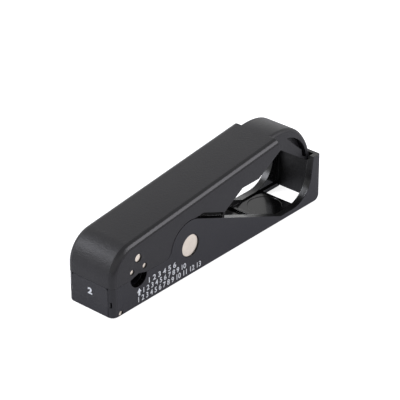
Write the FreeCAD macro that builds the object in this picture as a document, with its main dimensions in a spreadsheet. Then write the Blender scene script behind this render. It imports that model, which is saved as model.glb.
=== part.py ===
import FreeCAD, Part
import math
import os
import re
import Sketcher

# Coaxial cable stripper: a lower moulding and an upper lever on one cross pin, sprung apart at the ring end.
# +X runs from the jaw to the finger ring, +Y across the tool, +Z up.
# The origin is the middle of the bottom face. Everything is in millimetres.

DOC = FreeCAD.newDocument("CableStripper")
SHEET = DOC.addObject("Spreadsheet::Sheet", "Sizes")

SIZES = [
    # the whole tool
    ("Length", 105.0),
    ("Width", 20.0),
    ("PartingGap", 0.1),
    ("WallThickness", 2.65),
    ("FloorThickness", 1.5),
    ("PlayGap", 0.05),
    # pivot, from the front end
    ("PivotFromFront", 37.2),
    ("PivotRise", 0.2),
    ("PivotPinDiameter", 8.0),
    ("PivotHoleGap", 0.1),
    ("BossRadius", 9.4),
    ("BossGap", 0.3),
    ("BossFillet", 3.0),
    ("WasherThickness", 0.4),
    ("WasherDiameter", 12.0),
    ("BushDiameter", 9.6),
    ("SpringChannel", 7.2),
    ("LugRadius", 7.2),
    ("SpringWire", 1.2),
    ("SpringTurns", 2.0),
    ("SpringFlats", 8),
    ("SpringLegReach", 19.0),
    # the lower moulding's finger side
    ("SillHeight", 2.1),
    ("SillFromRear", 21.0),
    ("ScoopRadius", 9.9),
    ("ScoopFromRear", 14.5),
    ("LandTilt", 8.0),
    ("RearWallThickness", 1.45),
    ("HeelRadius", 2.3),
    ("WindowLength", 9.3),
    ("WindowMargin", 0.75),
    ("RibFromRear", 26.7),
    ("RibThickness", 1.1),
    ("RibHeight", 0.8),
    ("MarkDiameter", 12.0),
    ("MarkDepth", 0.15),
    ("MarkFromRear", 17.8),
    ("HookRelief", 0.85),
    ("HookReliefDepth", 1.5),
    ("FrontCornerRadius", 2.4),
    ("RearCornerRadius", 0.6),
    # the jaw and the block in it
    ("JawFromFront", 12.2),
    ("JawRadius", 3.85),
    ("JawPeakHeight", 1.1),
    ("CradleGap", 0.1),
    ("BlockLength", 20.0),
    ("BlockBottom", 4.1),
    ("BlockSideWall", 2.05),
    ("BlockCorner", 1.0),
    ("BlockGap", 0.15),
    ("TabWidth", 0.8),
    ("TabGap", 0.5),
    ("TabHeight", 1.9),
    ("TabDepth", 1.6),
    ("VeeDepth", 1.9),
    ("BlockWeb", 0.95),
    ("BladeSlotWidth", 1.0),
    ("BladeSlotDepth", 2.6),
    ("CavityWall", 1.8),
    # the click spring under the block
    ("ClickPinFromFront", 3.7),
    ("ClickPinDiameter", 1.8),
    ("ClickPinHeight", 1.05),
    ("ClickStrip", 0.4),
    ("ClickStripWidth", 5.6),
    ("ClickWellLength", 14.0),
    ("ClickWellFloor", 0.8),
    ("ClickCrest", 0.8),
    ("TongueLength", 17.0),
    ("TongueSlit", 0.2),
    # the upper lever
    ("LeverTilt", 6.75),
    ("LeverRise", 16.1),
    ("LeverTopThickness", 2.4),
    ("FrontFace", 2.6),
    ("EdgeRadius", 2.1),
    ("SkirtGap", 2.05),
    ("SkirtLead", 6.5),
    ("ToothFromFront", 54.3),
    ("GripRise", 10.6),
    ("GripStart", 63.4),
    ("GripEnd", 71.8),
    ("SkirtFromRear", 22.0),
    ("SkirtEndDrop", 4.7),
    ("SkirtEndTilt", 15.0),
    ("WebFromFront", 56.4),
    ("WebThickness", 1.2),
    # the hook of the ring
    ("HookSideGap", 0.25),
    ("HookSwingGap", 0.58),
    ("HookCrownRadius", 27.0),
    ("HookShoulderRadius", 15.0),
    ("HookBackRadius", 21.5),
    ("HookTipRadius", 6.0),
    ("HookCrownAngle", 8.0),
    ("HookShoulderAngle", 46.0),
    ("HookBackAngle", 74.0),
    ("HookTipThickness", 1.6),
    ("HookLip", 1.7),
    ("HookReach", 2.2),
    ("HookEdgeRadius", 1.4),
    ("RecessShell", 2.3),
    ("RecessDepth", 2.5),
    ("RecessRadius", 13.4),
    # the blade pack
    ("BladeThickness", 0.6),
    ("BladePitch", 5.0),
    ("BladeWidth", 10.0),
    ("BladeTop", 9.2),
    ("BladeBevel", 1.2),
    ("JacketDepth", 0.2),
    ("BraidDepth", 0.6),
    ("CoreDepth", 1.9),
    ("ClampPinDiameter", 2.9),
    ("ClampPinHeight", 6.75),
    ("GuidePinDiameter", 1.9),
    ("GuidePinHeight", 2.7),
    ("GuidePinSpacing", 5.9),
    ("PinHoleGap", 0.1),
    ("PinSetback", 0.4),
    ("PinBevel", 0.15),
]

for row, (alias, number) in enumerate(SIZES, start=1):
    SHEET.set("A%d" % row, alias)
    SHEET.set("B%d" % row, str(number))
    SHEET.setAlias("B%d" % row, alias)
DOC.recompute()


# Heights that follow from the sizes: the mouldings part at the block's upper face, and the pivot lies just above.
STACKS = [
    ("PivotHeight", "(PartingHeight + PivotRise)"),
    ("PartingHeight", "(BlockBottom + VeeDepth + BlockWeb + JawRadius + CradleGap + PlayGap * 2)"),
]


def bound(text):
    """Turns a formula of plain size names into one that reads the sheet."""
    for name, stack in STACKS:
        text = text.replace(name, stack)
    return re.sub(r"\b([A-Z][A-Za-z]+)\b", r"Sizes.\1", text)


def value(text):
    """The number that a formula of size names gives now."""
    result = SHEET.evalExpression(bound(text))
    return float(getattr(result, "Value", result))


def from_front(text):
    """X of a place given by its distance from the front end."""
    return "(%s - Length / 2)" % text


def from_rear(text):
    """X of a place given by its distance from the ring end."""
    return "(Length / 2 - %s)" % text


FRONT = "(-Length / 2)"
REAR = "(Length / 2)"
PIVOT_X = from_front("PivotFromFront")
JAW_X = from_front("JawFromFront")
INNER_HALF = "(Width / 2 - WallThickness)"
REAR_INNER_X = from_rear("RearWallThickness")
HOOK_HALF = "(Width / 2 - WallThickness - HookSideGap)"
HOOK_TIP_X = from_rear("(RearWallThickness + HookSwingGap)")
LEVER_BOTTOM = "(PartingHeight + PartingGap)"
ABOVE_ALL = "(PartingHeight + LeverRise + Length / 4)"
SLOT_HALF = "(Width / 2 - BlockSideWall)"
BLOCK_HALF = "(Width / 2 - BlockSideWall - BlockGap)"


# Sketches

def plane_of(body, role):
    return [part for part in body.Origin.OriginFeatures if part.Role == role][0]


def new_body(name):
    body = DOC.addObject("PartDesign::Body", name)
    body.Label = name
    return body


def new_sketch(body, name, role="XZ_Plane", lift=None):
    """A sketch on one of the body's own origin planes, lifted along that plane's normal."""
    sketch = body.newObject("Sketcher::SketchObject", name)
    sketch.AttachmentSupport = [(plane_of(body, role), "")]
    sketch.MapMode = "FlatFace"
    if lift is not None:
        sketch.setExpression("AttachmentOffset.Base.z", bound(lift))
    return sketch


def drive(sketch, kind, places, text):
    """A dimension of the sketch that is bound to a formula."""
    number = sketch.addConstraint(Sketcher.Constraint(kind, *places, value(text)))
    sketch.setExpression("Constraints[%d]" % number, bound(text))


def pin_point(sketch, geometry, end, x_text, y_text):
    drive(sketch, "DistanceX", (-1, 1, geometry, end), x_text)
    drive(sketch, "DistanceY", (-1, 1, geometry, end), y_text)


def arc_between(start, end, radius, turn):
    """The shorter arc from start to end that turns left or right, always stored anticlockwise."""
    chord = end - start
    half = chord.Length / 2
    left = FreeCAD.Vector(-chord.y, chord.x, 0).normalize()
    side = 1 if turn == "left" else -1
    middle = (start + end) * 0.5
    centre = middle + left * side * math.sqrt(max(radius * radius - half * half, 0))
    first, last = (start, end) if turn == "left" else (end, start)
    angles = [math.atan2(point.y - centre.y, point.x - centre.x) for point in (first, last)]
    if angles[1] < angles[0]:
        angles[1] += 2 * math.pi
    circle = Part.Circle(centre, FreeCAD.Vector(0, 0, 1), radius)
    return Part.ArcOfCircle(circle, angles[0], angles[1])


def outline(sketch, corners):
    """A closed outline. A corner is (x, y), or (x, y, turn, radius) where an arc leaves it for the next one."""
    points = [FreeCAD.Vector(value(corner[0]), value(corner[1]), 0) for corner in corners]
    first_number = sketch.GeometryCount
    starts, ends = [], []
    for index, corner in enumerate(corners):
        here = points[index]
        there = points[(index + 1) % len(points)]
        if len(corner) == 2:
            sketch.addGeometry(Part.LineSegment(here, there), False)
            starts.append(1)
            ends.append(2)
        else:
            sketch.addGeometry(arc_between(here, there, value(corner[3]), corner[2]), False)
            starts.append(1 if corner[2] == "left" else 2)
            ends.append(2 if corner[2] == "left" else 1)
    for index, corner in enumerate(corners):
        following = (index + 1) % len(corners)
        number = first_number + index
        next_number = first_number + following
        joint = ("Coincident", number, ends[index], next_number, starts[following])
        sketch.addConstraint(Sketcher.Constraint(*joint))
        pin_point(sketch, number, starts[index], corner[0], corner[1])
        if len(corner) == 4:
            drive(sketch, "Radius", (number,), corner[3])
    return sketch


def rectangle(sketch, x_low, x_high, y_low, y_high):
    corners = [(x_low, y_low), (x_high, y_low), (x_high, y_high), (x_low, y_high)]
    return outline(sketch, corners)


def circle(sketch, x_text, y_text, diameter):
    centre = FreeCAD.Vector(value(x_text), value(y_text), 0)
    radius = value("(%s) / 2" % diameter)
    number = sketch.addGeometry(Part.Circle(centre, FreeCAD.Vector(0, 0, 1), radius), False)
    pin_point(sketch, number, 3, x_text, y_text)
    drive(sketch, "Radius", (number,), "(%s) / 2" % diameter)
    return sketch


# Features

def pad(body, sketch, length, sides="Symmetric"):
    feature = body.newObject("PartDesign::Pad", sketch.Name + "Pad")
    feature.Profile = sketch
    feature.SideType = sides
    feature.setExpression("Length", bound(length))
    DOC.recompute()
    return feature


def pocket(body, sketch, length=None, sides="Symmetric", reverse=False):
    """Cuts a sketch away, right through where no length is given, and makes sure that it cut."""
    before = body.Shape.Volume
    feature = body.newObject("PartDesign::Pocket", sketch.Name + "Cut")
    feature.Profile = sketch
    feature.SideType = sides
    feature.Reversed = reverse
    if length is None:
        feature.Type = "ThroughAll"
    else:
        feature.setExpression("Length", bound(length))
    DOC.recompute()
    if not body.Shape.Volume < before:
        raise ValueError("%s cuts nothing" % sketch.Name)
    return feature


def dress(body, kind, name, size_name, length, pick):
    """A fillet or chamfer along every edge that pick accepts."""
    base = body.Tip
    names = ["Edge%d" % (index + 1) for index, edge in enumerate(base.Shape.Edges) if pick(edge)]
    if not names:
        raise ValueError("%s finds no edge" % name)
    feature = body.newObject(kind, name)
    feature.Base = (base, names)
    feature.setExpression(size_name, bound(length))
    DOC.recompute()
    if "Invalid" in feature.State:
        raise ValueError("%s fails" % name)
    return feature


def fillet(body, name, radius, pick):
    return dress(body, "PartDesign::Fillet", name, "Radius", radius, pick)


def chamfer(body, name, length, pick):
    return dress(body, "PartDesign::Chamfer", name, "Size", length, pick)


TOUCH = 0.001


def middle_of(edge):
    low, high = edge.ParameterRange
    return edge.valueAt((low + high) / 2)


def upright(edge):
    low, high = edge.ParameterRange
    ends = edge.valueAt(low), edge.valueAt(high)
    return abs(ends[0].x - ends[1].x) < TOUCH and abs(ends[0].y - ends[1].y) < TOUCH


def ring(name, x_text, z_text, outer, inner, y_high, length):
    """A turned piece on an axis along Y, bored where inner is given, reaching down in Y from y_high."""
    body = new_body(name)
    sketch = new_sketch(body, name + "_section", lift="-(%s)" % y_high)
    circle(sketch, x_text, z_text, outer)
    if inner is not None:
        circle(sketch, x_text, z_text, inner)
    pad(body, sketch, length, "One side")
    return body


def cross_pin(name, x_text, z_text, diameter):
    """A steel pin right across the tool, set a little into its holes at both sides, with broken edges."""
    body = ring(name, x_text, z_text, diameter, None, "Width / 2 - PinSetback", "Width - PinSetback * 2")
    chamfer(body, name + "_edge", "PinBevel", lambda edge: edge.Closed)
    return body


# The lever's top plane and the hook's back, which the rear wall of the ring follows

NORMAL_X = "sin(-LeverTilt)"
NORMAL_Z = "cos(LeverTilt)"


def top_height(x_text, drop="0"):
    """Height of the lever's top plane over x, or of a plane that lies below it by drop."""
    return "(PivotHeight + (LeverRise - (%s) - (%s - %s) * %s) / %s)" % (drop, x_text, PIVOT_X, NORMAL_X, NORMAL_Z)


def hook_chain():
    """The hook's back, worked out from its tip: each corner where one arc hands over to the next."""
    steps = [
        ("HookCrownRadius", "-LeverTilt", "HookCrownAngle"),
        ("HookShoulderRadius", "HookCrownAngle", "HookShoulderAngle"),
        ("HookBackRadius", "HookShoulderAngle", "HookBackAngle"),
        ("HookTipRadius", "HookBackAngle", "90"),
    ]
    reach = " + ".join("%s * (sin(%s) - sin(%s))" % (radius, last, first) for radius, first, last in steps)
    x_text = "(%s - (%s))" % (HOOK_TIP_X, reach)
    z_text = top_height(x_text)
    corners = []
    for radius, first, last in steps:
        corners.append((x_text, z_text, "right", radius))
        x_text = "(%s + %s * (sin(%s) - sin(%s)))" % (x_text, radius, last, first)
        z_text = "(%s + %s * (cos(%s) - cos(%s)))" % (z_text, radius, last, first)
    corners.append((x_text, z_text))
    return corners


HOOK_BOTTOM = "(%s - HookLip)" % hook_chain()[-1][1]
HOOK_INNER_X = "(%s - HookTipThickness)" % HOOK_TIP_X
REAR_WALL_Z = "(%s + HookReach)" % HOOK_BOTTOM


# The lower moulding: profile of its side walls

SILL_X = from_rear("SillFromRear")
SCOOP_X = from_rear("ScoopFromRear")
SILL_RUN = "(Length - SillFromRear - PivotFromFront)"
SILL_DROP = "(PivotHeight - SillHeight)"
SLOPE = "(asin(BossRadius / hypot(%s; %s)) + atan2(%s; %s))" % (SILL_RUN, SILL_DROP, SILL_DROP, SILL_RUN)
LAND_FOOT_X = "(%s + ScoopRadius * cos(LandTilt))" % SCOOP_X
LAND_FOOT_Z = "(SillHeight + ScoopRadius * (1 - sin(LandTilt)))"
LAND_TOP_X = "(%s + (%s - %s) * tan(LandTilt))" % (LAND_FOOT_X, REAR_WALL_Z, LAND_FOOT_Z)
BOSS_TOE = "acos((BossFillet - PivotHeight + PartingHeight) / (BossRadius + BossFillet))"
TOE_X = "(%s - (BossRadius + BossFillet) * sin(%s))" % (PIVOT_X, BOSS_TOE)
TOE_Z = "(PartingHeight + BossFillet)"


def boss_point(radius, angle):
    """Point at a radius from the pivot, at an angle from straight up towards the ring end."""
    x_text = "(%s + (%s) * sin(%s))" % (PIVOT_X, radius, angle)
    z_text = "(PivotHeight + (%s) * cos(%s))" % (radius, angle)
    return x_text, z_text


def base_profile():
    """Side view of the lower moulding, anticlockwise from the front bottom corner."""
    slope_top = boss_point("BossRadius", SLOPE)
    boss_top = boss_point("BossRadius", "0")
    boss_toe = boss_point("BossRadius", "-" + BOSS_TOE)
    return [
        (FRONT, "0"),
        (from_rear("HeelRadius"), "0", "left", "HeelRadius"),
        (REAR, "HeelRadius"),
        (REAR, REAR_WALL_Z),
        (LAND_TOP_X, REAR_WALL_Z),
        (LAND_FOOT_X, LAND_FOOT_Z, "right", "ScoopRadius"),
        (SCOOP_X, "SillHeight"),
        (SILL_X, "SillHeight"),
        slope_top + ("left", "BossRadius"),
        boss_top + ("left", "BossRadius"),
        boss_toe + ("right", "BossFillet"),
        (TOE_X, "PartingHeight"),
        (JAW_X + " + JawRadius", "PartingHeight", "right", "JawRadius"),
        (JAW_X, "PartingHeight - JawRadius", "right", "JawRadius"),
        (JAW_X + " - JawRadius", "PartingHeight"),
        (FRONT, "PartingHeight"),
    ]


def make_base_body():
    """Lower moulding: two side walls on a floor, the front that holds the block, and the ring's well."""
    body = new_body("base_body")
    pad(body, outline(new_sketch(body, "base_walls"), base_profile()), "Width")
    front, rear = value(FRONT), value(REAR)

    def front_corner(edge):
        return upright(edge) and abs(middle_of(edge).x - front) < TOUCH

    def rear_corner(edge):
        return upright(edge) and abs(middle_of(edge).x - rear) < TOUCH

    fillet(body, "base_front_corners", "FrontCornerRadius", front_corner)
    fillet(body, "base_rear_corners", "RearCornerRadius", rear_corner)

    cavity_front = from_front("(BlockLength + BlockGap + CavityWall)")
    rib_rear = from_rear("RibFromRear")
    rib_front = "(%s - RibThickness)" % rib_rear
    rib_top = "(FloorThickness + RibHeight)"
    cavity = [
        (cavity_front, "FloorThickness"),
        (rib_front, "FloorThickness"),
        (rib_front, rib_top),
        (rib_rear, rib_top),
        (rib_rear, "FloorThickness"),
        (REAR_INNER_X, "FloorThickness"),
        (REAR_INNER_X, ABOVE_ALL),
        (cavity_front, ABOVE_ALL),
    ]
    pocket(body, outline(new_sketch(body, "base_cavity"), cavity), INNER_HALF + " * 2")

    slot = new_sketch(body, "block_slot")
    rectangle(slot, FRONT + " - Width", from_front("(BlockLength + BlockGap)"), "BlockBottom", ABOVE_ALL)
    pocket(body, slot, SLOT_HALF + " * 2")

    notch = new_sketch(body, "tab_notches")
    notch_top = "BlockBottom + TabHeight + BlockGap"
    rectangle(notch, FRONT + " - Width", from_front("(TabDepth + BlockGap)"), "BlockBottom", notch_top)
    pocket(body, notch, "(%s + TabWidth + TabGap) * 2" % BLOCK_HALF)

    slits = new_sketch(body, "tongue_slits", "XY_Plane", lift="BlockBottom")
    slit_end = from_front("TongueLength")
    slit_edge = "(%s - TongueSlit)" % SLOT_HALF
    rectangle(slits, FRONT + " - Width", slit_end, slit_edge, SLOT_HALF)
    rectangle(slits, FRONT + " - Width", slit_end, "-" + SLOT_HALF, "-" + slit_edge)
    pocket(body, slits, "BlockBottom", "One side")

    relief = new_sketch(body, "hook_relief")
    rectangle(relief, REAR_INNER_X + " - WallThickness", REAR_INNER_X, REAR_WALL_Z + " - HookReliefDepth", ABOVE_ALL)
    pocket(body, relief, "(%s + HookRelief) * 2" % INNER_HALF)

    well = new_sketch(body, "click_well")
    well_front = from_front("(ClickPinFromFront - ClickPinDiameter)")
    rectangle(well, well_front, well_front + " + ClickWellLength", "ClickWellFloor", "BlockBottom + BlockGap")
    pocket(body, well, "ClickStripWidth + BlockGap * 4")

    window = new_sketch(body, "floor_window", "XY_Plane")
    window_half = INNER_HALF + " - WindowMargin"
    rectangle(window, REAR_INNER_X + " - WindowLength", REAR_INNER_X, "-(%s)" % window_half, window_half)
    pocket(body, window)

    mark = new_sketch(body, "ejector_mark", "XY_Plane", lift="FloorThickness")
    circle(mark, from_rear("MarkFromRear"), "0", "MarkDiameter")
    pocket(body, mark, "MarkDepth", "One side")

    holes = new_sketch(body, "base_pin_holes")
    circle(holes, PIVOT_X, "PivotHeight", "PivotPinDiameter + PivotHoleGap * 2")
    circle(holes, from_front("ClickPinFromFront"), "ClickPinHeight", "ClickPinDiameter + PinHoleGap")
    pocket(body, holes)
    return body


# The upper lever: profile of its top, skirt and hook

NOSE_HEIGHT = "(LeverRise - (%s - %s) * %s)" % (FRONT, PIVOT_X, NORMAL_X)
NOSE_FOOT = "((%s + FrontFace - PivotHeight) * %s)" % (LEVER_BOTTOM, NORMAL_Z)
NOSE_RADIUS = "((%s - %s) / (1 + %s))" % (NOSE_HEIGHT, NOSE_FOOT, NORMAL_X)
NOSE_X = "(%s + %s)" % (FRONT, NOSE_RADIUS)
NOSE_Z = top_height(NOSE_X, NOSE_RADIUS)
SKIRT_X = from_rear("SkirtFromRear")
SKIRT_END_Z = "(%s - SkirtEndDrop)" % top_height(SKIRT_X)
SKIRT_LEAN = "(SkirtEndDrop * tan(SkirtEndTilt))"
SKIRT_TOP_X = "(%s - %s)" % (SKIRT_X, SKIRT_LEAN)
GAP_RADIUS = "(BossRadius + SkirtGap)"
LEAVE_ANGLE = "(%s * 0.6)" % SLOPE
OPEN_X = "(%s + SkirtLead)" % PIVOT_X
TOOTH_X = from_front("ToothFromFront")


def sloped_height(radius, x_text):
    """Height over x of the line that leaves a circle round the pivot along the base's slope."""
    return "(PivotHeight + (%s - (%s - %s) * sin(%s)) / cos(%s))" % (radius, x_text, PIVOT_X, SLOPE, SLOPE)


TOOTH_Z = sloped_height(GAP_RADIUS, TOOTH_X)


def lever_profile():
    """Side view of the lever without its hook, anticlockwise from the jaw."""
    peak = (JAW_X, LEVER_BOTTOM + " + JawPeakHeight")
    jaw_rear = (JAW_X + " + JawRadius", LEVER_BOTTOM)
    jaw_front = (JAW_X + " - JawRadius", LEVER_BOTTOM)
    hug = "BossRadius + BossGap"
    toe = boss_point(hug, "-" + BOSS_TOE)
    boss_top = boss_point(hug, "0")
    hug_end = boss_point(hug, LEAVE_ANGLE)
    open_start = (OPEN_X, sloped_height(GAP_RADIUS, OPEN_X))
    return [
        (FRONT, LEVER_BOTTOM),
        jaw_front,
        peak,
        jaw_rear,
        (TOE_X, LEVER_BOTTOM, "left", "BossFillet - BossGap"),
        toe + ("right", hug),
        boss_top + ("right", hug),
        hug_end,
        open_start,
        (TOOTH_X, TOOTH_Z),
        (from_front("GripStart"), "PivotHeight + GripRise"),
        (from_front("GripEnd"), "PivotHeight + GripRise"),
        (SKIRT_X, SKIRT_END_Z),
        (SKIRT_TOP_X, top_height(SKIRT_TOP_X)),
        ("%s + %s * %s" % (NOSE_X, NOSE_RADIUS, NORMAL_X), "%s + %s * %s" % (NOSE_Z, NOSE_RADIUS, NORMAL_Z),
         "left", NOSE_RADIUS),
        (FRONT, NOSE_Z),
    ]


def hook_profile():
    """Side view of the hook, clockwise along its back, then back along the finger rest."""
    root_x = "(%s - HookTipThickness)" % SKIRT_TOP_X
    return [(root_x, top_height(root_x))] + hook_chain() + [
        (HOOK_TIP_X, HOOK_BOTTOM),
        (HOOK_INNER_X, HOOK_BOTTOM),
        (SKIRT_X, SKIRT_END_Z),
        (root_x, SKIRT_END_Z),
    ]


def hook_recess():
    """The crescent that is cored out of each side of the hook, under its back."""
    rest_slope = "((%s - %s) / (%s - %s))" % (SKIRT_END_Z, HOOK_BOTTOM, HOOK_INNER_X, SKIRT_X)
    start_x = "(%s - RecessRadius)" % HOOK_TIP_X
    start_z = top_height(start_x, "RecessShell * 2")
    knee_x = "(%s - HookTipThickness * 3)" % HOOK_TIP_X
    knee_z = "(%s + HookTipThickness * 2 + (%s - %s) * %s)" % (HOOK_BOTTOM, HOOK_INNER_X, knee_x, rest_slope)
    low_x = "(%s - HookTipThickness * 2.7)" % HOOK_TIP_X
    low_z = "(%s + HookTipThickness / 2 + (%s - %s) * %s)" % (HOOK_BOTTOM, HOOK_INNER_X, low_x, rest_slope)
    end_x = "(%s - HookTipThickness * 1.3)" % HOOK_TIP_X
    end_z = "(%s + HookTipThickness)" % HOOK_BOTTOM
    return [(start_x, start_z, "right", "RecessRadius"), (end_x, end_z), (low_x, low_z), (knee_x, knee_z)]


def make_lever_body():
    """Upper lever: a long shell with skirts flush with the base, pivot lugs, a blade box and the hook."""
    body = new_body("lever_body")
    pad(body, outline(new_sketch(body, "hook_sides"), hook_profile()), HOOK_HALF + " * 2")
    hook_half = value(HOOK_HALF)
    skirt_x = value(SKIRT_X)
    rest_level = value(SKIRT_END_Z)
    rest_slope = (rest_level - value(HOOK_BOTTOM)) / (value(HOOK_INNER_X) - skirt_x)

    def hook_rim(edge):
        point = middle_of(edge)
        on_side = abs(abs(point.y) - hook_half) < TOUCH
        above_rest = point.z - rest_level + rest_slope * max(point.x - skirt_x, 0)
        on_root = upright(edge) and point.x < skirt_x
        return on_side and not on_root and above_rest > value("HookTipThickness") / 2

    fillet(body, "hook_rim", "HookEdgeRadius", hook_rim)

    pad(body, outline(new_sketch(body, "lever_sides"), lever_profile()), "Width")
    half = value("Width / 2")
    front = value(FRONT)
    nose = FreeCAD.Vector(value(NOSE_X), 0, value(NOSE_Z))
    nose_radius = value(NOSE_RADIUS)
    tilt = math.radians(value("LeverTilt"))
    normal = FreeCAD.Vector(-math.sin(tilt), 0, math.cos(tilt))

    def outer_rim(edge):
        point = middle_of(edge)
        if abs(abs(point.y) - half) > TOUCH:
            return False
        flat = FreeCAD.Vector(point.x, 0, point.z) - nose
        on_front = abs(point.x - front) < TOUCH
        on_nose = abs(flat.Length - nose_radius) < TOUCH and flat.x < 0 and flat.z > 0
        return on_front or on_nose or abs(flat.dot(normal) - nose_radius) < TOUCH

    fillet(body, "lever_rim", "EdgeRadius", outer_rim)

    recess = outline(new_sketch(body, "hook_recess"), hook_recess())
    pocket(body, recess)
    pad(body, recess, "(%s - RecessDepth) * 2" % HOOK_HALF)

    cavity_front = from_front("(BlockLength + BlockGap)")
    cavity_rear = "(%s - LeverTopThickness)" % SKIRT_TOP_X
    cavity = [
        (cavity_front, "0"),
        (cavity_rear, "0"),
        (cavity_rear, top_height(cavity_rear, "LeverTopThickness")),
        (cavity_front, top_height(cavity_front, "LeverTopThickness")),
    ]
    pocket(body, outline(new_sketch(body, "lever_cavity"), cavity), INNER_HALF + " * 2")

    lug_outer = INNER_HALF + " - WasherThickness - PlayGap * 2"
    lug_front = "(%s - LugRadius)" % PIVOT_X
    lug_rear = "(%s + LugRadius)" % PIVOT_X
    lugs = new_sketch(body, "pivot_lugs")
    outline(lugs, [
        (lug_front, "PivotHeight", "left", "LugRadius"),
        (PIVOT_X, "PivotHeight - LugRadius", "left", "LugRadius"),
        (lug_rear, "PivotHeight"),
        (lug_rear, top_height(lug_rear, "LeverTopThickness / 2")),
        (lug_front, top_height(lug_front, "LeverTopThickness / 2")),
    ])
    pad(body, lugs, "(%s) * 2" % lug_outer)
    channel = new_sketch(body, "spring_channel")
    channel_front = "(%s - LugRadius - PlayGap)" % PIVOT_X
    channel_rear = "(%s + LugRadius + PlayGap)" % PIVOT_X
    outline(channel, [
        (channel_front, "0"),
        (channel_rear, "0"),
        (channel_rear, top_height(channel_rear, "LeverTopThickness")),
        (channel_front, top_height(channel_front, "LeverTopThickness")),
    ])
    pocket(body, channel, "SpringChannel")

    web = new_sketch(body, "finger_web")
    web_front = from_front("WebFromFront")
    web_rear = from_front("(WebFromFront + WebThickness)")
    web_radius = "(BossRadius + BossGap)"
    outline(web, [
        (web_front, sloped_height(web_radius, web_front)),
        (web_rear, sloped_height(web_radius, web_rear)),
        (web_rear, top_height(web_rear, "LeverTopThickness / 2")),
        (web_front, top_height(web_front, "LeverTopThickness / 2")),
    ])
    pad(body, web, INNER_HALF + " * 2")

    box = new_sketch(body, "blade_box")
    box_half = "(BladeWidth / 2 + PlayGap * 2)"
    box_top = LEVER_BOTTOM + " + BladeTop + PlayGap * 2"
    rectangle(box, JAW_X + " - " + box_half, JAW_X + " + " + box_half, "0", box_top)
    pocket(body, box, "(%s - PlayGap * 3) * 2" % INNER_HALF)

    holes = new_sketch(body, "lever_pin_holes")
    circle(holes, PIVOT_X, "PivotHeight", "PivotPinDiameter + PlayGap * 2")
    for x_text, z_text, diameter in blade_pins():
        circle(holes, x_text, z_text, diameter + " + PinHoleGap")
    pocket(body, holes)
    return body


# The blade pack

def blade_pins():
    """Centre and diameter of the clamp pin and the two guide pins."""
    clamp_z = "(PartingHeight + ClampPinHeight)"
    guide_z = "(PartingHeight + GuidePinHeight)"
    return [
        (JAW_X, clamp_z, "ClampPinDiameter"),
        ("(%s - GuidePinSpacing / 2)" % JAW_X, guide_z, "GuidePinDiameter"),
        ("(%s + GuidePinSpacing / 2)" % JAW_X, guide_z, "GuidePinDiameter"),
    ]


def pack_plate(name, y_high, thickness, bottom):
    """A plate of the blade pack with holes for the three pins, reaching down in Y from y_high."""
    body = new_body(name)
    sketch = new_sketch(body, name + "_plate", lift="-(%s)" % y_high)
    low_x = JAW_X + " - BladeWidth / 2"
    high_x = JAW_X + " + BladeWidth / 2"
    rectangle(sketch, low_x, high_x, bottom, LEVER_BOTTOM + " + BladeTop")
    for x_text, z_text, diameter in blade_pins():
        circle(sketch, x_text, z_text, diameter + " + PinHoleGap")
    pad(body, sketch, thickness, "One side")
    return body


def make_blade(name, place, depth):
    """A flat blade, ground from both faces to an edge that stands below the lever by its cutting depth."""
    centre = "(BladePitch * %d)" % place
    body = pack_plate(name, centre + " + BladeThickness / 2", "BladeThickness", LEVER_BOTTOM + " - " + depth)
    edge_height = value(LEVER_BOTTOM + " - " + depth)
    grind = new_sketch(body, name + "_grind", "YZ_Plane")
    for side in (-1, 1):
        low_y = "%s + %d * BladeThickness" % (centre, side)
        foot = LEVER_BOTTOM + " - " + depth
        corners = [(centre, foot + " - PlayGap"), (low_y, foot + " - PlayGap"), (low_y, foot + " + BladeBevel * 2")]
        outline(grind, corners if side > 0 else corners[::-1])
    pocket(body, grind)
    return body


def make_blade_pack():
    blades = [("blade_jacket", -1, "JacketDepth"), ("blade_braid", 0, "BraidDepth"), ("blade_core", 1, "CoreDepth")]
    for name, place, depth in blades:
        make_blade(name, place, depth)
    spacer_bottom = LEVER_BOTTOM + " + JawPeakHeight + PlayGap * 4"
    pack_half = "(%s - PlayGap * 4)" % INNER_HALF
    outer = "(%s - BladePitch - BladeThickness / 2)" % pack_half
    inner = "(BladePitch - BladeThickness)"
    spacers = [
        ("-BladePitch - BladeThickness / 2", outer),
        ("-BladeThickness / 2", inner),
        ("BladePitch - BladeThickness / 2", inner),
        (pack_half, outer),
    ]
    for number, (y_high, thickness) in enumerate(spacers, start=1):
        pack_plate("blade_spacer_%d" % number, y_high, thickness, spacer_bottom)
    names = ["clamp_pin", "guide_pin_front", "guide_pin_rear"]
    for name, (x_text, z_text, diameter) in zip(names, blade_pins()):
        cross_pin(name, x_text, z_text, diameter)


# The block in the jaw, and what holds it

def corner_face(y_text):
    """X of a point just behind the base's rounded front corner, at a distance y from the middle."""
    past = "(%s - Width / 2 + FrontCornerRadius)" % y_text
    return from_front("(FrontCornerRadius + PlayGap - sqrt(FrontCornerRadius ^ 2 - %s ^ 2))" % past)


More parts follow.
